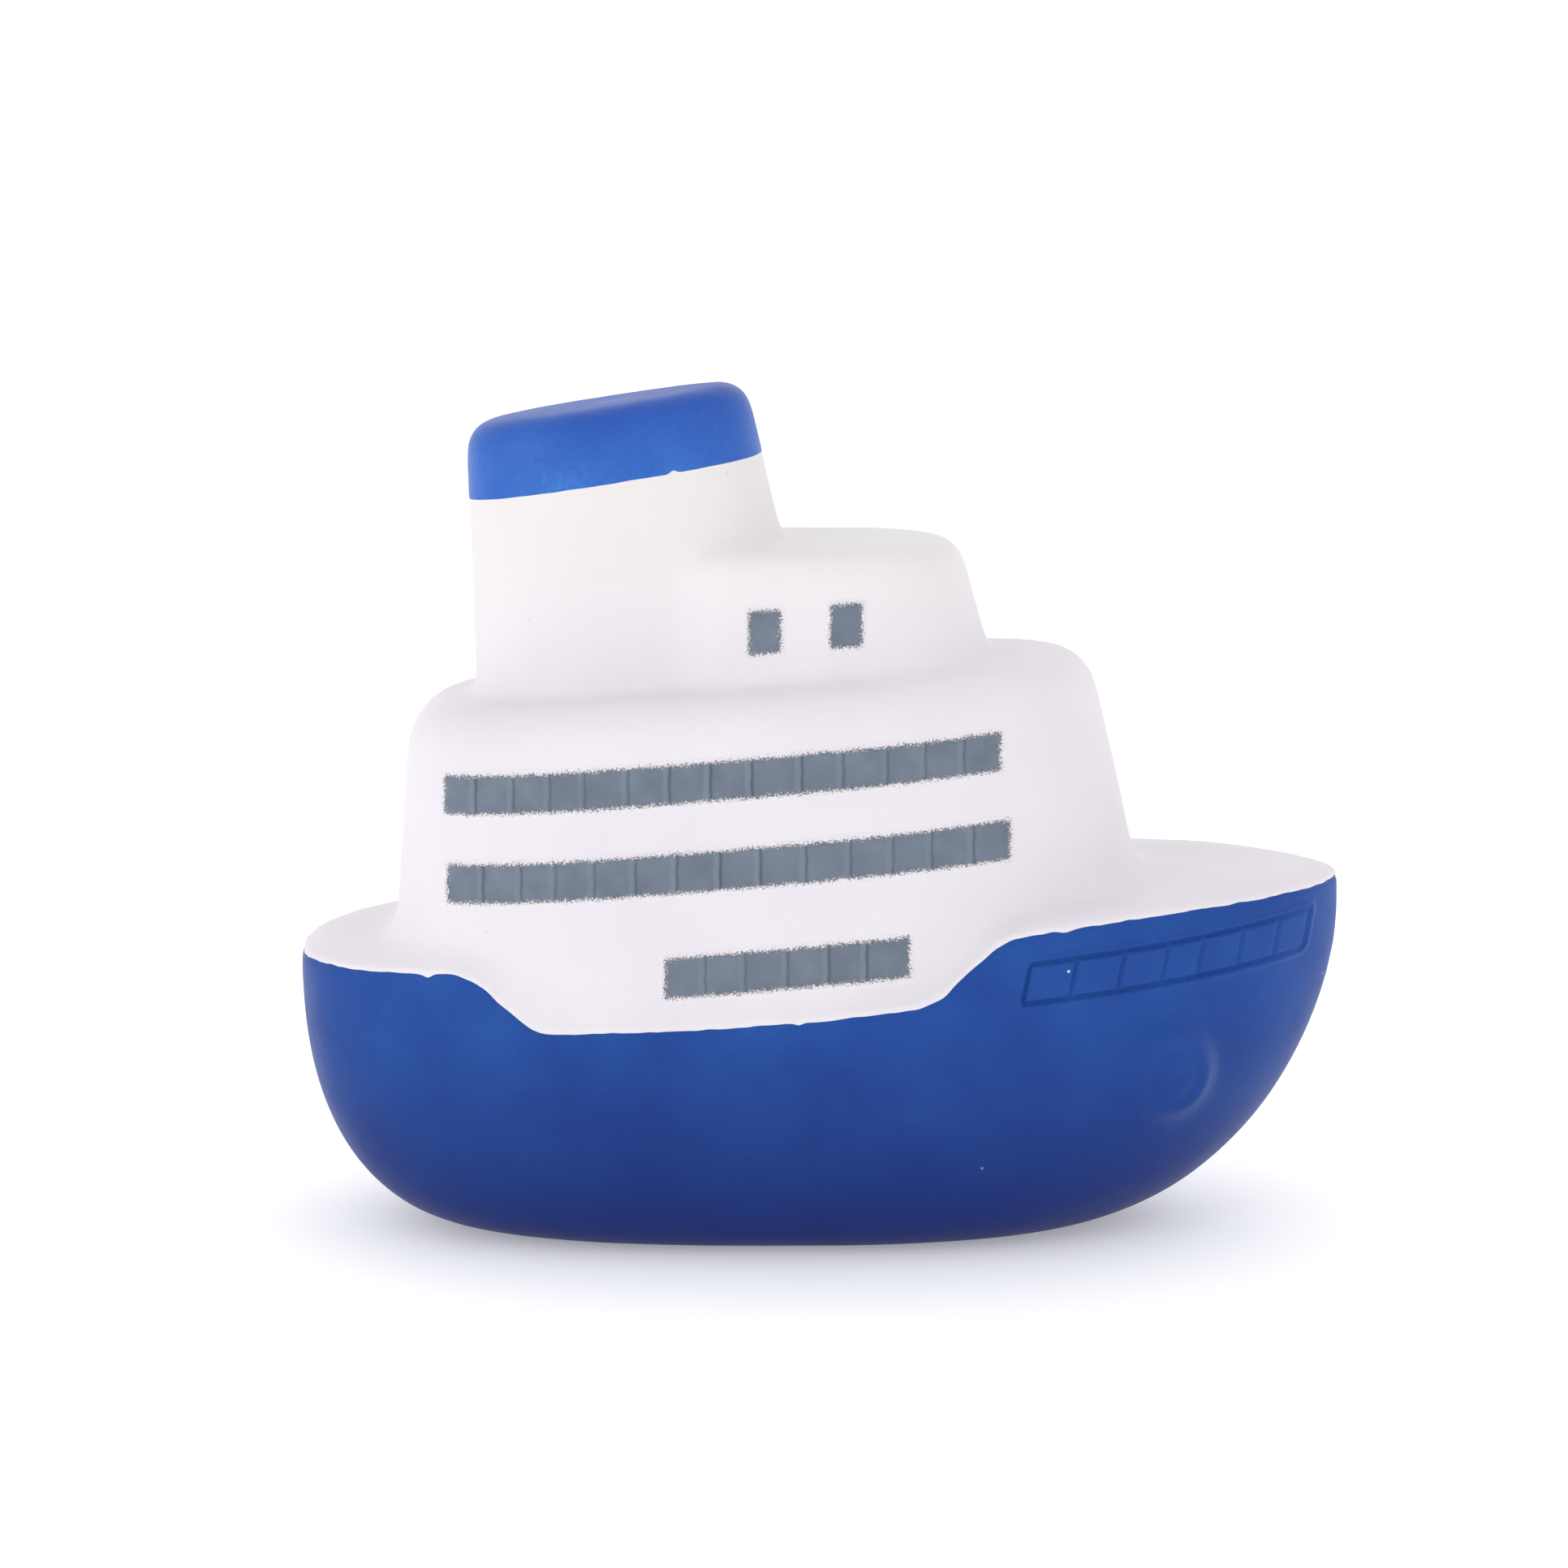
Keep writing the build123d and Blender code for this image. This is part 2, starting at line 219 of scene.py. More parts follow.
def cut(mesh, field):
    """Splits a skin along field = 0. Returns the part below and the part above, both closed."""
    bm = bmesh.new()
    bm.from_mesh(mesh)
    bm.verts.ensure_lookup_table()
    values = field(np.array([v.co for v in bm.verts]))
    values[np.abs(values) < 1e-5] = 1e-5
    crossing = {f for e in bm.edges if values[e.verts[0].index] * values[e.verts[1].index] < 0
                for f in e.link_faces}
    bmesh.ops.triangulate(bm, faces=list(crossing))
    sign = {v: values[v.index] for v in bm.verts}
    for edge in list(bm.edges):
        start, end = edge.verts
        if sign[start] * sign[end] < 0:
            share = sign[start] / (sign[start] - sign[end])
            _, point = bmesh.utils.edge_split(edge, start, share)
            sign[point] = 0.0
    for face in list(bm.faces):
        on_line = [v for v in face.verts if sign[v] == 0.0]
        if len(on_line) == 2 and len(face.verts) > 3:
            bmesh.utils.face_split(face, on_line[0], on_line[1])
    halves = []
    tags = [sum(sign[v] for v in f.verts) > 0 for f in bm.faces]
    for above in (False, True):
        part = bm.copy()
        part.faces.ensure_lookup_table()
        gone = [f for f, tag in zip(part.faces, tags) if tag != above]
        bmesh.ops.delete(part, geom=gone, context="FACES")
        rims = [e for e in part.edges if e.is_boundary]
        bmesh.ops.bridge_loops(part, edges=rims)
        for edge in rims:
            edge.smooth = False
        bmesh.ops.recalc_face_normals(part, faces=part.faces)
        halves.append(mesh_from(part, "part"))
    bm.free()
    return halves


def shade_smooth(mesh):
    mesh.polygons.foreach_set("use_smooth", [True] * len(mesh.polygons))
    mesh.update()


# ---- the skin ------------------------------------------------------------------
def joined_shells():
    """One mesh, in mm, of every wall, with the plug's hole filled."""
    bm = bmesh.new()
    shown = ("hull_shell", "upper_shell", "funnel_collar", "funnel_cap")
    for name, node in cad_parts.items():
        if name in shown or "window" in name:
            bm.from_mesh(node.data)
    bmesh.ops.scale(bm, vec=(1 / MM,) * 3, verts=bm.verts)
    core = bmesh.ops.create_cone(
        bm, cap_ends=True, segments=64, radius1=BOSS_RADIUS, radius2=BOSS_RADIUS, depth=BOSS_TOP_Z)
    bmesh.ops.translate(bm, vec=(PLUG_X, 0, BOSS_TOP_Z / 2), verts=core["verts"])
    return mesh_from(bm, "shells")


def evaluated(thing):
    """The object's mesh as its modifiers leave it. The object itself goes."""
    made = bpy.data.meshes.new_from_object(
        thing.evaluated_get(bpy.context.evaluated_depsgraph_get()))
    bpy.data.objects.remove(thing)
    return made


def remeshed(mesh, voxel):
    """Even closed skin round the mesh, made with voxels."""
    rough = new_object("rough", mesh)
    step = rough.modifiers.new("voxels", "REMESH")
    step.mode = "VOXEL"
    step.voxel_size = voxel
    return evaluated(rough)


def thinned(mesh, share):
    """The same surface with fewer faces, for walls that are hardly seen."""
    rough = new_object("rough", mesh)
    step = rough.modifiers.new("fewer", "DECIMATE")
    step.ratio = share
    return evaluated(rough)


def without(mesh, cutter):
    """Boolean difference of two closed meshes."""
    body, tool = new_object("body", mesh), new_object("tool", cutter)
    step = body.modifiers.new("cut", "BOOLEAN")
    step.solver = "EXACT"
    step.object = tool
    made = evaluated(body)
    bpy.data.objects.remove(tool)
    return made


def turned(profile, segments=96):
    """Closed solid of revolution about the plug's axis. profile holds (radius, z), bottom up."""
    bm = bmesh.new()
    rings = []
    for radius, z in profile:
        angles = [2 * math.pi * k / segments for k in range(segments)]
        rings.append([bm.verts.new((PLUG_X + radius * math.cos(a), radius * math.sin(a), z))
                      for a in angles])
    for low, high in zip(rings, rings[1:]):
        for k in range(segments):
            bm.faces.new((low[k - 1], low[k], high[k], high[k - 1]))
    bm.faces.new(list(reversed(rings[0])))
    bm.faces.new(rings[-1])
    return mesh_from(bm, "turned")


def make_cavity(outer):
    """Skin of the air space: WALL inside the outer one, and clear of the plug's boss."""
    mesh = thinned(outer, 0.2)
    set_points(mesh, points_of(mesh) - WALL * normals_of(mesh))
    mesh = remeshed(mesh, CAVITY_VOXEL)
    relax(mesh, CAVITY_STEPS)
    mesh = without(thinned(mesh, 0.3), turned([(BOSS_RADIUS, -2.0), (BOSS_RADIUS, BOSS_TOP_Z)]))
    mesh.flip_normals()
    return mesh


def make_skin():
    outer = remeshed(joined_shells(), VOXEL)
    relax(outer, SOFTEN_STEPS)
    relax(outer, LEDGE_STEPS, where=on_ledge(points_of(outer)))
    inner = make_cavity(outer)
    for zone in (near_lines, near_relief, near_relief):
        refine(outer, zone)
    relax(outer, FINE_STEPS)
    return outer, inner


def cap_height(x):
    return CAP_LINE_Z + FUNNEL_TILT * x


def collar_height(x):
    return COLLAR_LINE_Z + FUNNEL_TILT * x


def on_ledge(points):
    """How far the skin lies on the white ledge above the colour line, 0..1."""
    over = points[:, 2] - rim_height(points[:, 0])
    return smoothstep(0.3, 1.5, over) * smoothstep(9.0, 6.0, over)


def near_lines(points):
    x, z = points[:, 0], points[:, 2]
    rim = np.abs(z - rim_height(x)) < 1.5
    bands = (np.abs(z - cap_height(x)) < 1.4) | (np.abs(z - collar_height(x)) < 1.0)
    return rim | (bands & (x < 0))


def relief_place(x, z):
    """Where a side-view point lies on the bow strip: along 0..1, and mm above its foot."""
    up = z - RELIEF_Z - RELIEF_RISE * (x - RELIEF_AFT_X)
    along = (x - RELIEF_LEAN * up - RELIEF_AFT_X) / (RELIEF_FORE_X - RELIEF_AFT_X)
    return along, up


def disc_share(x, z):
    """0 at the middle of the boss, 1 at its rim."""
    return np.hypot((x - DISC_X) / DISC_RADIUS_X, (z - DISC_Z) / DISC_RADIUS_Z)


def near_relief(points):
    x, y, z = points.T
    along, up = relief_place(x, z)
    strip = (along > -0.05) & (along < 1.05) & (up > -1.0) & (up < RELIEF_HEIGHT + 1.0)
    return (strip | (disc_share(x, z) < 1.35)) & (np.abs(y) > 2)


def relief_rise(x, z):
    """Height of the moulded window strip and disc over the plain flank."""
    along, up = relief_place(x, z)
    length = RELIEF_FORE_X - RELIEF_AFT_X
    edge = inside_box(along * length, up, length, RELIEF_HEIGHT, RELIEF_CORNER)
    groove = hump(edge - 0.3, 0.21)
    for bar in RELIEF_BARS:
        place = (bar - RELIEF_AFT_X) / length
        faint = 0.8 - 0.45 * place
        groove = np.maximum(groove, faint * hump((along - place) * length, 0.2) * (edge > 0.2))
    rise = 0.16 * smoothstep(-0.55, -0.05, edge) - 0.08 * smoothstep(0.1, 0.6, edge)
    rise -= 0.46 * groove * smoothstep(1.25, 0.7, along)
    radius = disc_share(x, z)
    rise += DISC_RISE * smoothstep(1.05, 0.6, radius)
    rise -= 0.13 * hump(radius - 0.46, 0.10)
    rise -= 0.12 * hump(radius, 0.12)
    return rise


def rim_line(points):
    """Height over the hull's colour line, which is slightly wavy and nicked."""
    x, z = points[:, 0], points[:, 2]
    plan = np.column_stack((x, points[:, 1], np.zeros(len(x))))
    wavy = 0.10 * wobble(plan, 3.1, 1) + 0.07 * wobble(plan, 1.1, 2)
    for place, width, drop in RIM_NICKS:
        wavy -= drop * hump(x - place, width) * (points[:, 1] < 0)
    return z - rim_height(x) - wavy


def cap_line(points):
    """Height over the foot of the funnel's blue top."""
    x, y, z = points.T
    plan = np.column_stack((x, y, np.zeros(len(x))))
    place, width, rise = CAP_NICK
    nick = rise * hump(x - place, width) * (y < 0)
    return z - cap_height(x) - 0.07 * wobble(plan, 2.0, 3) - nick


def funnel_gap(points):
    """Distance inside (positive) the funnel's outline, grown by COLLAR_REACH."""
    x, y, z = points.T
    aft, fore, half = (start + slope * (z - FUNNEL_BASE_Z)
                       for start, slope in (FUNNEL_AFT, FUNNEL_FORE, FUNNEL_HALF_WIDTH))
    middle = (aft + fore) / 2
    reach = (fore - aft) / 2 + COLLAR_REACH
    size = (np.abs((x - middle) / reach) ** 2.5 + np.abs(y / (half + COLLAR_REACH)) ** 2.5) ** 0.4
    return (1 - size) * half


def collar_line(points):
    """Positive above the hairline, within the funnel."""
    x, z = points[:, 0], points[:, 2]
    return np.minimum(z - collar_height(x), funnel_gap(points))


def carve(outer):
    """Moves the skin along its normals to give it the mouldings' small features."""
    points, normals = points_of(outer), normals_of(outer)
    x, y, z = points.T
    rim = rim_line(points)
    upright = 1 - np.abs(normals[:, 2])
    rise = 0.09 * upright * hump(rim - 0.45, 0.38)
    rise -= 0.15 * upright * hump(rim + 0.14, 0.2)
    flank = smoothstep(2.0, 5.0, np.abs(y)) * smoothstep(-0.6, -1.2, rim)
    rise += flank * relief_rise(x, z)
    cap = cap_line(points)
    on_funnel = x < -1
    rise += on_funnel * (0.05 * smoothstep(-0.15, 0.1, cap) + 0.05 * hump(cap + 0.75, 0.25))
    collar = z - collar_height(x)
    rise -= smoothstep(-13.0, -15.0, x) * 0.09 * hump(collar, 0.22)
    rise += 0.05 * wobble(points, 9.0, 4)
    points += normals * rise[:, None]
    points[:, 2] = np.maximum(points[:, 2], 0.0)
    set_points(outer, points)


def with_inside(outer, inner):
    """Both skins in one mesh."""
    bm = bmesh.new()
    bm.from_mesh(outer)
    bm.from_mesh(inner)
    return mesh_from(bm, "skin")


def bored(hull):
    """The hull with the stepped hole for its plug."""
    return without(hull, turned([
        (FLANGE_BORE, -1.0), (FLANGE_BORE, FLANGE_TOP_Z), (PLUG_BORE, FLANGE_TOP_Z),
        (PLUG_BORE, BOSS_TOP_Z + 1.0)]))


def window_patch(aft, fore, sill, rise, ribs, side, wall):
    """Sheet lying on the wall, with ribs between panes, that carries a window strip's paint."""
    run = fore - aft
    across = np.arange(-WINDOW_MARGIN, run + WINDOW_MARGIN + PATCH_STEP, PATCH_STEP)
    upward = np.arange(-WINDOW_MARGIN, rise + WINDOW_MARGIN + PATCH_STEP, PATCH_STEP)
    u, v = np.meshgrid(across, upward)
    x = aft + u
    z = sill + SHEER * x + v
    y = np.array([hit_wall(wall, a, b, side) for a, b in zip(x.ravel(), z.ravel())]).reshape(x.shape)
    for _ in range(PATCH_SOFTEN_STEPS):
        soft = np.pad(y, 1, mode="reflect", reflect_type="odd")
        y = (soft[:-2, 1:-1] + soft[2:, 1:-1] + soft[1:-1, :-2] + soft[1:-1, 2:]) / 4
    edge = inside_box(u, v, run, rise, PATCH_CORNER)
    inside = smoothstep(-0.05, 0.15, edge)
    rib, beside = np.zeros(x.shape), np.zeros(x.shape)
    for count, place in enumerate(ribs):
        strength = 0.8 + 0.2 * math.sin(7.1 * count + aft)
        away = x - place - 0.03 * np.sin(3.0 * v + count)
        rib += strength * inside * smoothstep(0.34, 0.16, np.abs(away))
        # beside marks a faint groove on one side of each rib, and also the painted shadow line
        # stored on the patch for the paint
        beside += strength * inside * hump(away + side * 0.38, 0.12)
    lift = 0.08 + 0.07 * rib - 0.03 * beside - 0.03 * smoothstep(0.0, 0.35, edge)
    lift -= 0.13 * smoothstep(-0.1, -WINDOW_MARGIN, edge)
    y = y + side * lift
    rows, columns = x.shape
    index = np.arange(rows * columns).reshape(rows, columns)
    quads = np.stack((index[:-1, :-1], index[:-1, 1:], index[1:, 1:], index[1:, :-1]), -1)
    quads = quads.reshape(-1, 4) if side < 0 else quads.reshape(-1, 4)[:, ::-1]
    mesh = bpy.data.meshes.new("patch")
    mesh.from_pydata(np.stack((x, y, z), -1).reshape(-1, 3).tolist(), [], quads.tolist())
    for name, values in (("edge", edge), ("rib", rib), ("rib_shadow_line", beside)):
        store = mesh.attributes.new(name, "FLOAT", "POINT")
        store.data.foreach_set("value", values.ravel().astype(np.float32))
    return mesh


def hit_wall(wall, x, z, side):
    """Y of the wall at a side-view point."""
    return wall.ray_cast(Vector((x, side * 60.0, z)), Vector((0, -side, 0)))[0].y


def thickened(mesh, depth):
    sheet = new_object("sheet", mesh)
    step = sheet.modifiers.new("thick", "SOLIDIFY")
    step.thickness = depth
    step.offset = -1
    return evaluated(sheet)


def make_windows(wall, paint):
    for side_name, side in (("starboard", -1), ("port", 1)):
        for strip, sizes in STRIPS.items():
            node = f"{strip}_{side_name}"
            mesh = thickened(window_patch(*sizes, side, wall), PATCH_THICKNESS)
            finished(f"painted_{node}", mesh, paint, [node])


def finished(name, mesh, material, nodes):
    """Puts a mesh made in mm into the scene as a piece that stands for CAD nodes."""
    set_points(mesh, points_of(mesh) * MM)
    shade_smooth(mesh)
    mesh.materials.clear()
    mesh.materials.append(material)
    piece = new_object(name, mesh)
    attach(piece, "boat")
    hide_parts(*nodes)


# ---- materials -----------------------------------------------------------------
class Nodes:
    """Short way to add shader nodes and join them."""

    def __init__(self, name):
        self.material = bpy.data.materials.new(name)
        self.material.use_nodes = True
        self.tree = self.material.node_tree
        self.shader = self.tree.nodes["Principled BSDF"]
        self.place = self.add("ShaderNodeTexCoord").outputs["Object"]

    def add(self, kind, **inputs):
        node = self.tree.nodes.new(kind)
        for key, value in inputs.items():
            self.feed(node.inputs[key.replace("_", " ")], value)
        return node

    def feed(self, socket, value):
        if isinstance(value, bpy.types.NodeSocket):
            self.tree.links.new(value, socket)
        else:
            socket.default_value = value

    def field(self, name):
        """A value stored on the mesh's points."""
        made = self.tree.nodes.new("ShaderNodeAttribute")
        made.attribute_name = name
        return made.outputs["Fac"]

    def along(self, axis, low, high):
        """0 up to the place low on an axis, 1 from high on, in mm."""
        split = self.add("ShaderNodeSeparateXYZ", Vector=self.place)
        band = self.add("ShaderNodeMapRange", Value=split.outputs[axis])
        self.feed(band.inputs["From Min"], low * MM)
        self.feed(band.inputs["From Max"], high * MM)
        return band.outputs["Result"]

    def noise(self, pitch, detail=2.0, roughness=0.5):
        """Random pattern with features about pitch mm apart, 0..1."""
        made = self.add("ShaderNodeTexNoise", Vector=self.place, Scale=1 / (pitch * MM),
                        Detail=detail, Roughness=roughness)
        return made.outputs["Fac"]

    def cells(self, pitch):
        return self.add("ShaderNodeTexVoronoi", Vector=self.place, Scale=1 / (pitch * MM))

    def spots(self, pitch, size):
        """Small round specks about pitch mm apart: 1 in a speck, 0 elsewhere."""
        distance = self.cells(pitch).outputs["Distance"]
        return self.ramp(distance, (size * 0.6, 1.0), (size, 0.0))

    def ramp(self, value, *stops):
        """Maps a value through stops of (position, level or colour)."""
        made = self.add("ShaderNodeValToRGB", Fac=value)
        band = made.color_ramp
        while len(band.elements) < len(stops):
            band.elements.new(0.5)
        for element, (position, level) in zip(band.elements, stops):
            element.position = position
            element.color = level if isinstance(level, tuple) else (level, level, level, 1)
        return made.outputs["Color"]

    def math(self, operation, a, b=0.0):
        made = self.tree.nodes.new("ShaderNodeMath")
        made.operation = operation
        self.feed(made.inputs[0], a)
        self.feed(made.inputs[1], b)
        return made.outputs[0]

    def blend(self, share, a, b):
        made = self.tree.nodes.new("ShaderNodeMix")
        made.data_type = "RGBA"
        self.feed(made.inputs["Factor"], share)
        self.feed(made.inputs[6], a)
        self.feed(made.inputs[7], b)
        return made.outputs[2]

    def bump(self, height, depth, under=None):
        """Surface relief of depth mm."""
        made = self.add("ShaderNodeBump", Height=height, Distance=depth * MM)
        if under is not None:
            self.feed(made.inputs["Normal"], under)
        return made.outputs["Normal"]


def rgb(red, green, blue):
    """Colour from 0..255 screen values."""
    def linear(v):
        v /= 255
        return v / 12.92 if v <= 0.04045 else ((v + 0.055) / 1.055) ** 2.4
    return (linear(red), linear(green), linear(blue), 1.0)


def vinyl(name, main, low, roughness, speck, speck_share=0.35, other=None, span=None,
          grain=0.25, gloss=0.28):
    """Soft moulded vinyl: mottled colour, fine grain, orange-peel skin and a few specks.

    span is the axis along which the colour turns into other, the place where other is
    whole, and the place where none of it is left.
    """
    n = Nodes(name)
    mottle = n.noise(11.0, 3.0)
    fine = n.noise(0.55, 3.0)
    colour = n.blend(n.ramp(mottle, (0.32, 0.0), (0.68, 1.0)), main, low)
    colour = n.blend(n.math("MULTIPLY", n.ramp(fine, (0.4, 0.0), (0.7, 1.0)), grain), colour, low)
    specks = n.math("MULTIPLY", n.spots(5.5, 0.03), speck_share)
    colour = n.blend(specks, colour, speck)
    if other is not None:
        # other is a second tone over span: on the hull and the funnel's top it is painted shade, on
        # the white it is the ivory band's own tone
        colour = n.blend(n.along(*span), other, colour)
    n.base = colour
    n.feed(n.shader.inputs["Base Color"], colour)
    rough = n.math("ADD", n.math("MULTIPLY", n.noise(4.0, 4.0), 0.16), roughness - 0.08)
    n.feed(n.shader.inputs["Roughness"], rough)
    peel = n.bump(n.noise(0.9, 2.0), 0.018)
    n.feed(n.shader.inputs["Normal"], n.bump(n.noise(0.22, 3.0), 0.008, peel))
    n.shader.inputs["IOR"].default_value = 1.48
    n.shader.inputs["Specular IOR Level"].default_value = gloss
    return n


WHITE = rgb(229, 225, 231)
WHITE_LOW = rgb(226, 221, 228)
IVORY = rgb(231, 227, 227)
IVORY_LOW = rgb(228, 224, 223)
HULL_BLUE = rgb(38, 82, 158)
HULL_BLUE_LOW = rgb(32, 68, 144)
# painted shade: the hull's blue darkens toward the keel, standing in for the light falling off
# underneath
HULL_BLUE_SHADED_KEEL = rgb(22, 40, 106)
CAP_BLUE = rgb(58, 118, 202)
CAP_BLUE_LOW = rgb(38, 94, 184)
# painted shade: the funnel top's blue darkens toward its top face
CAP_BLUE_SHADED_TOP = rgb(34, 76, 168)
PAINT_GREY = rgb(114, 125, 141)
PAINT_GREY_LOW = rgb(102, 112, 128)
# painted shade at the window strips' edges, for the pillowed panes turning away from the light
PAINT_GREY_EDGE_SHADE = rgb(99, 104, 114)
# painted highlight on the ribs between window panes
PAINT_GREY_RIB_HIGHLIGHT = rgb(124, 135, 147)
# painted shadow line beside each rib between window panes
PAINT_GREY_SHADOW_LINE = rgb(58, 68, 82)
PAINT_HALO = rgb(176, 168, 164)
SPECK_WHITE = rgb(225, 232, 245)
SPECK_DARK = rgb(150, 150, 155)


def window_paint():
    """Matt grey sprayed on, speckled at its edges, with painted highlights on the ribs, a painted
    shadow line beside each rib and painted shade near the strip's edge.
    """
    n = vinyl("window_paint", WHITE, WHITE_LOW, 0.5, SPECK_DARK, 0.2)
    edge = n.field("edge")
    grain = n.math("MULTIPLY", n.math("SUBTRACT", n.noise(0.16, 2.0, 0.7), 0.5), 1.7)
    drift = n.math("MULTIPLY", n.math("SUBTRACT", n.noise(1.4), 0.5), 0.25)
    ragged = n.math("ADD", edge, n.math("ADD", grain, drift))
    grey = n.blend(n.ramp(n.noise(2.6, 3.0), (0.3, 0.0), (0.7, 1.0)), PAINT_GREY, PAINT_GREY_LOW)
    # painted shade: the grey darkens within about 0.55 mm of the strip's edge
    grey = n.blend(n.ramp(edge, (0.0, 0.55), (0.55, 0.0)), grey, PAINT_GREY_EDGE_SHADE)
    # painted highlight: the grey lightens on the ribs
    grey = n.blend(n.math("MULTIPLY", n.field("rib"), 0.55), grey, PAINT_GREY_RIB_HIGHLIGHT)
    # painted shadow: a dark line beside each rib
    grey = n.blend(n.math("MULTIPLY", n.field("rib_shadow_line"), 0.7), grey, PAINT_GREY_SHADOW_LINE)
    halo = n.blend(n.ramp(ragged, (0.0, 0.0), (0.03, 0.7)), n.base, PAINT_HALO)
    mask = n.ramp(ragged, (0.10, 0.0), (0.20, 1.0))
    n.feed(n.shader.inputs["Base Color"], n.blend(mask, halo, grey))
    return n.material


def plated_steel():
    """Zinc-plated block: bright crystals, fine scratches, a few dull stains."""
    n = Nodes("plated_steel")
    crystals = n.cells(2.2).outputs["Color"]
    tone = n.ramp(crystals, (0.0, rgb(150, 153, 156)), (1.0, rgb(186, 190, 194)))
    stains = n.ramp(n.noise(6.0, 4.0), (0.55, 0.0), (0.75, 0.6))
    n.feed(n.shader.inputs["Base Color"], n.blend(stains, tone, rgb(108, 104, 98)))
    n.feed(n.shader.inputs["Roughness"], n.ramp(n.noise(0.8, 4.0), (0.3, 0.28), (0.7, 0.5)))
    n.feed(n.shader.inputs["Normal"], n.bump(n.noise(0.3, 3.0), 0.02))
    n.shader.inputs["Metallic"].default_value = 1.0
    return n.material


def dress(name, material):
    """Gives a CAD part its material."""
    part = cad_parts[name]
    part.data.materials.clear()
    part.data.materials.append(material)


# ---- studio --------------------------------------------------------------------
def floor_paper():
    """Matt pale paper with a little light of its own."""
    n = Nodes("floor_paper")
    colour = rgb(250, 250, 250)
    shade = n.blend(n.noise(60.0), colour, tuple(0.97 * c for c in colour[:3]) + (1,))
    n.feed(n.shader.inputs["Base Color"], shade)
    n.shader.inputs["Roughness"].default_value = 0.9
    n.shader.inputs["Emission Color"].default_value = colour
    n.shader.inputs["Emission Strength"].default_value = 0.3
    return n.material


def make_floor():
    bm = bmesh.new()
    corners = [(-1, -1), (1, -1), (1, 1), (-1, 1)]
    bm.faces.new([bm.verts.new((x * FLOOR_REACH, y * FLOOR_REACH, FLOOR_Z * MM))
                  for x, y in corners])
    mesh = mesh_from(bm, "floor")
    mesh.materials.append(floor_paper())
    new_object("floor", mesh)


def softbox(name, place, aim, size, power):
    lamp = bpy.data.lights.new(name, "AREA")
    lamp.shape = "RECTANGLE"
    lamp.size, lamp.size_y = size
    lamp.energy = power
    made = new_object(name, lamp)
    made.location = place
    made.rotation_euler = (Vector(aim) - Vector(place)).to_track_quat("-Z", "Y").to_euler()


def make_camera():
    lens = bpy.data.cameras.new("camera")
    lens.sensor_width = 36.0
    lens.lens = 36.0 * FOCAL_PER_WIDTH
    made = new_object("camera", lens)
    aim = Vector(CAMERA_AIM) * MM
    back = Vector((0, -math.cos(CAMERA_PITCH), math.sin(CAMERA_PITCH)))
    made.location = aim + back * CAMERA_DISTANCE * MM
    made.rotation_euler = (-back).to_track_quat("-Z", "Y").to_euler()
    bpy.context.scene.camera = made


def make_world():
    """Even white light all round, its strength shaped by STUDIO_LIGHT."""
    world = bpy.data.worlds.new("studio")
    world.use_nodes = True
    tree = world.node_tree
    place = tree.nodes.new("ShaderNodeTexCoord")
    split = tree.nodes.new("ShaderNodeSeparateXYZ")
    tree.links.new(place.outputs["Generated"], split.inputs[0])
    total = None
    for axis, low, high, at_low, at_high in STUDIO_LIGHT:
        band = tree.nodes.new("ShaderNodeMapRange")
        settings = {"From Min": low, "From Max": high, "To Min": at_low, "To Max": at_high}
        for name, value in settings.items():
            band.inputs[name].default_value = value
        tree.links.new(split.outputs[axis], band.inputs["Value"])
        if total is None:
            total = band.outputs["Result"]
        else:
            both = tree.nodes.new("ShaderNodeMath")
            tree.links.new(total, both.inputs[0])
            tree.links.new(band.outputs["Result"], both.inputs[1])
            total = both.outputs[0]
    tree.links.new(total, tree.nodes["Background"].inputs["Strength"])
    tree.nodes["Background"].inputs["Color"].default_value = (1.0, 1.0, 1.0, 1.0)
    bpy.context.scene.world = world


# ---- materials in use ----------------------------------------------------------
white_vinyl = vinyl(
    "white_vinyl", WHITE, WHITE_LOW, 0.5, SPECK_DARK, 0.25, IVORY, ("Z", 67.0, 57.0)).material
ivory_vinyl = vinyl("ivory_vinyl", IVORY, IVORY_LOW, 0.5, SPECK_DARK, 0.25).material
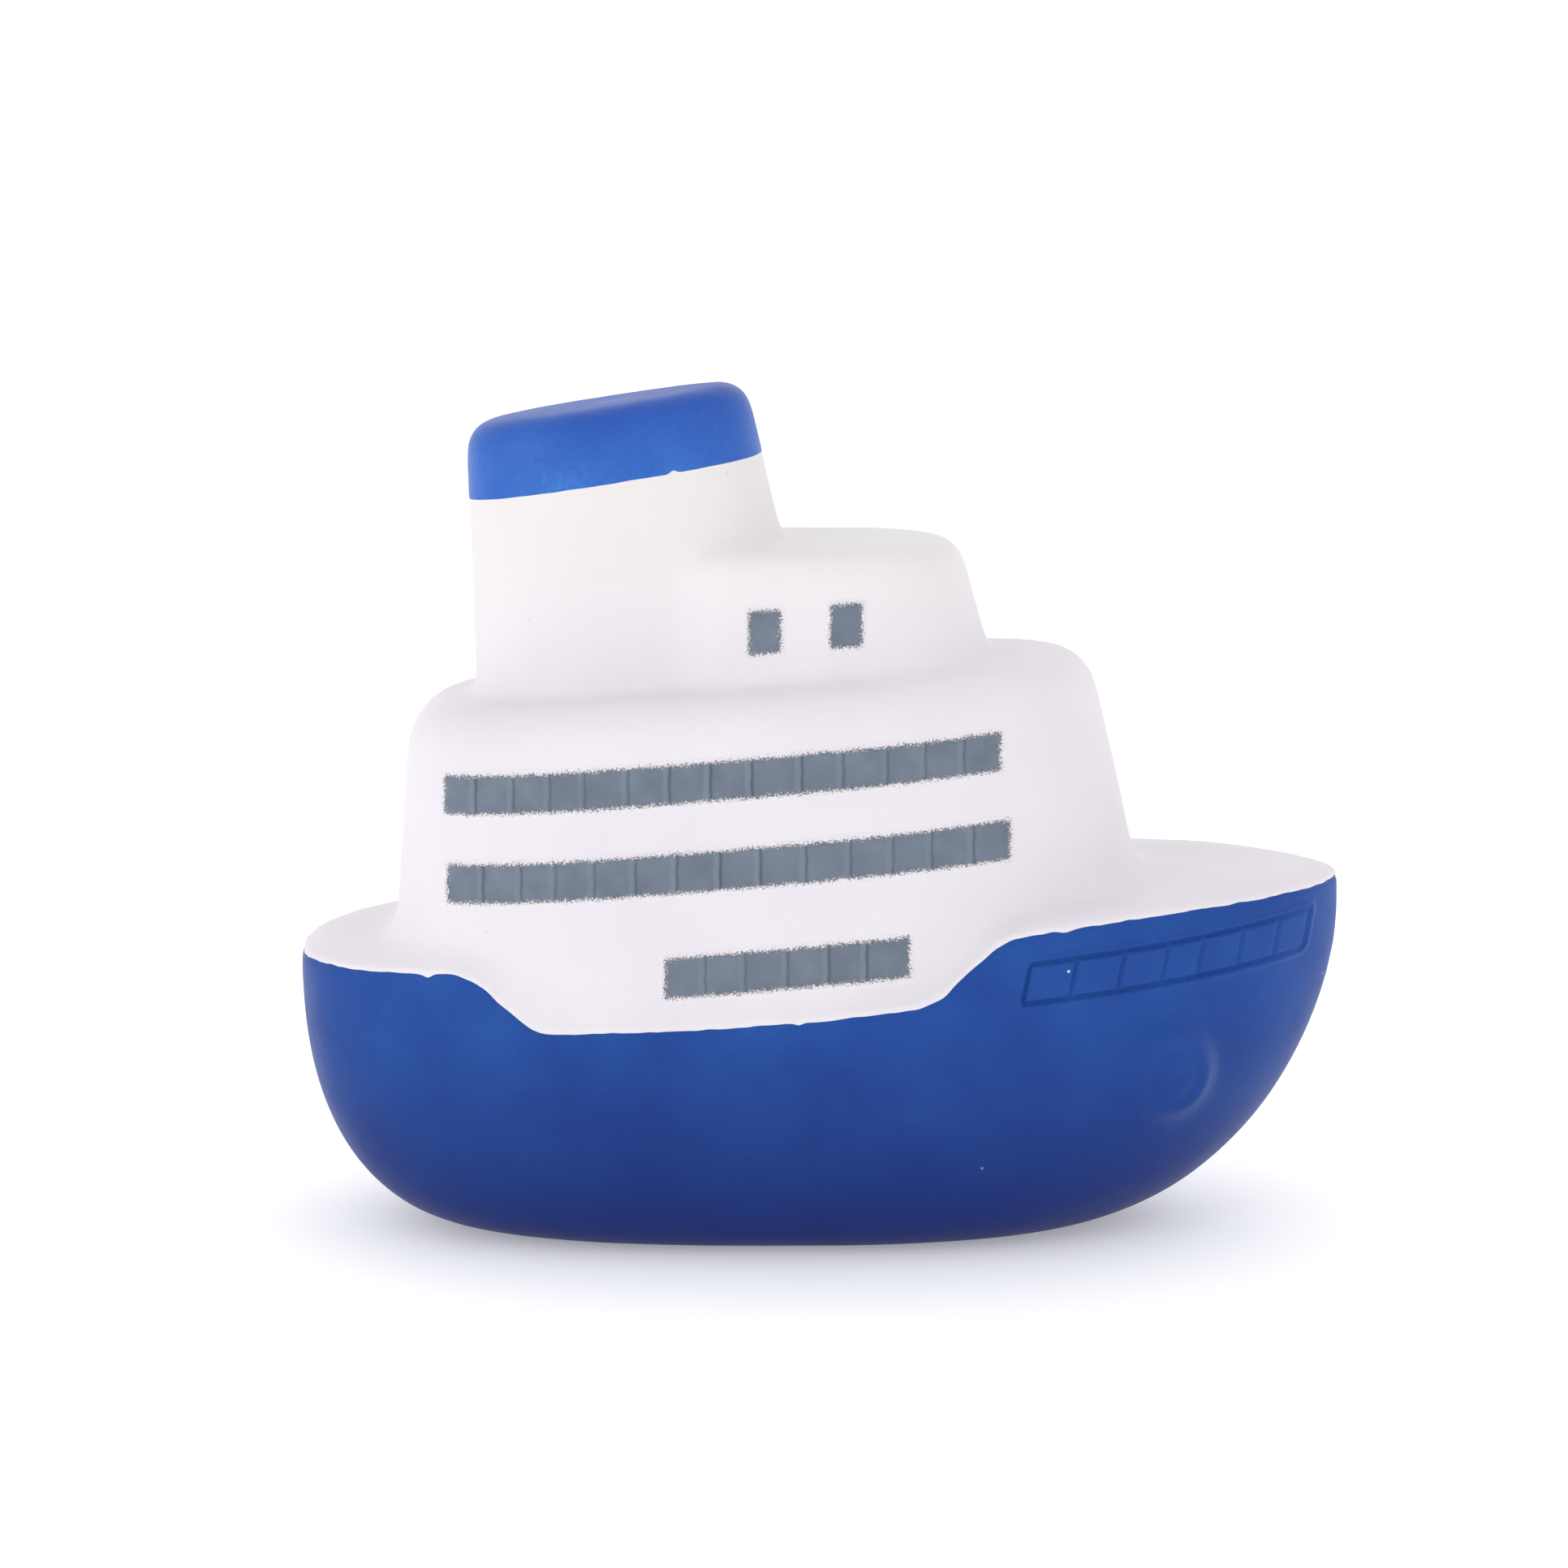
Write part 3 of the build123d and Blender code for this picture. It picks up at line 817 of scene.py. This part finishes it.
# the hull's blue turns into painted shade from 24 mm down to the keel at 2 mm
hull_vinyl = vinyl(
    "hull_vinyl", HULL_BLUE, HULL_BLUE_LOW, 0.42, SPECK_WHITE, 0.8, HULL_BLUE_SHADED_KEEL,
    ("Z", 2.0, 24.0), gloss=0.1).material
# the funnel top's blue turns into painted shade from 72 mm up to 82 mm
cap_vinyl = vinyl(
    "cap_vinyl", CAP_BLUE, CAP_BLUE_LOW, 0.45, SPECK_WHITE, 0.3, CAP_BLUE_SHADED_TOP,
    ("Z", 82.0, 72.0), 0.6).material
plug_vinyl = vinyl(
    "plug_vinyl", rgb(196, 202, 210), rgb(180, 187, 197), 0.5, SPECK_DARK, 0.4, grain=0.5).material
whistle_plastic = vinyl(
    "whistle_plastic", rgb(224, 216, 196), rgb(208, 199, 178), 0.32, SPECK_DARK, 0.3,
    gloss=0.5).material
reed_film = vinyl(
    "reed_film", rgb(206, 160, 84), rgb(186, 142, 70), 0.25, SPECK_DARK, 0.3, gloss=0.6).material
steel = plated_steel()

# ---- the pieces ----------------------------------------------------------------
outer, inner = make_skin()
carve(outer)
wall = BVHTree.FromPolygons(
    [tuple(p) for p in points_of(outer)], [tuple(f.vertices) for f in outer.polygons])
hull, rest = cut(with_inside(outer, inner), rim_line)
upper, stack = cut(rest, collar_line)
collar, cap = cut(stack, cap_line)
finished("hull", bored(hull), hull_vinyl, ["hull_shell"])
finished("upperworks", upper, white_vinyl, ["upper_shell"])
finished("funnel_ring", collar, ivory_vinyl, ["funnel_collar"])
finished("funnel_top", cap, cap_vinyl, ["funnel_cap"])
make_windows(wall, window_paint())
dress("base_plug", plug_vinyl)
dress("squeaker_body", whistle_plastic)
dress("squeaker_cap", whistle_plastic)
dress("squeaker_reed", reed_film)
dress("ballast_aft", steel)
dress("ballast_fore", steel)

# ---- light and camera ----------------------------------------------------------
make_floor()
make_world()
make_camera()
softbox("key", (-0.7, -0.6, 0.3), (0, 0, 0.04), (0.35, 0.35), 1.0)
softbox("fill", (0.6, -0.8, 0.5), (0, 0, 0.04), (0.6, 0.6), 0.2)
bpy.context.scene.view_settings.view_transform = "Standard"
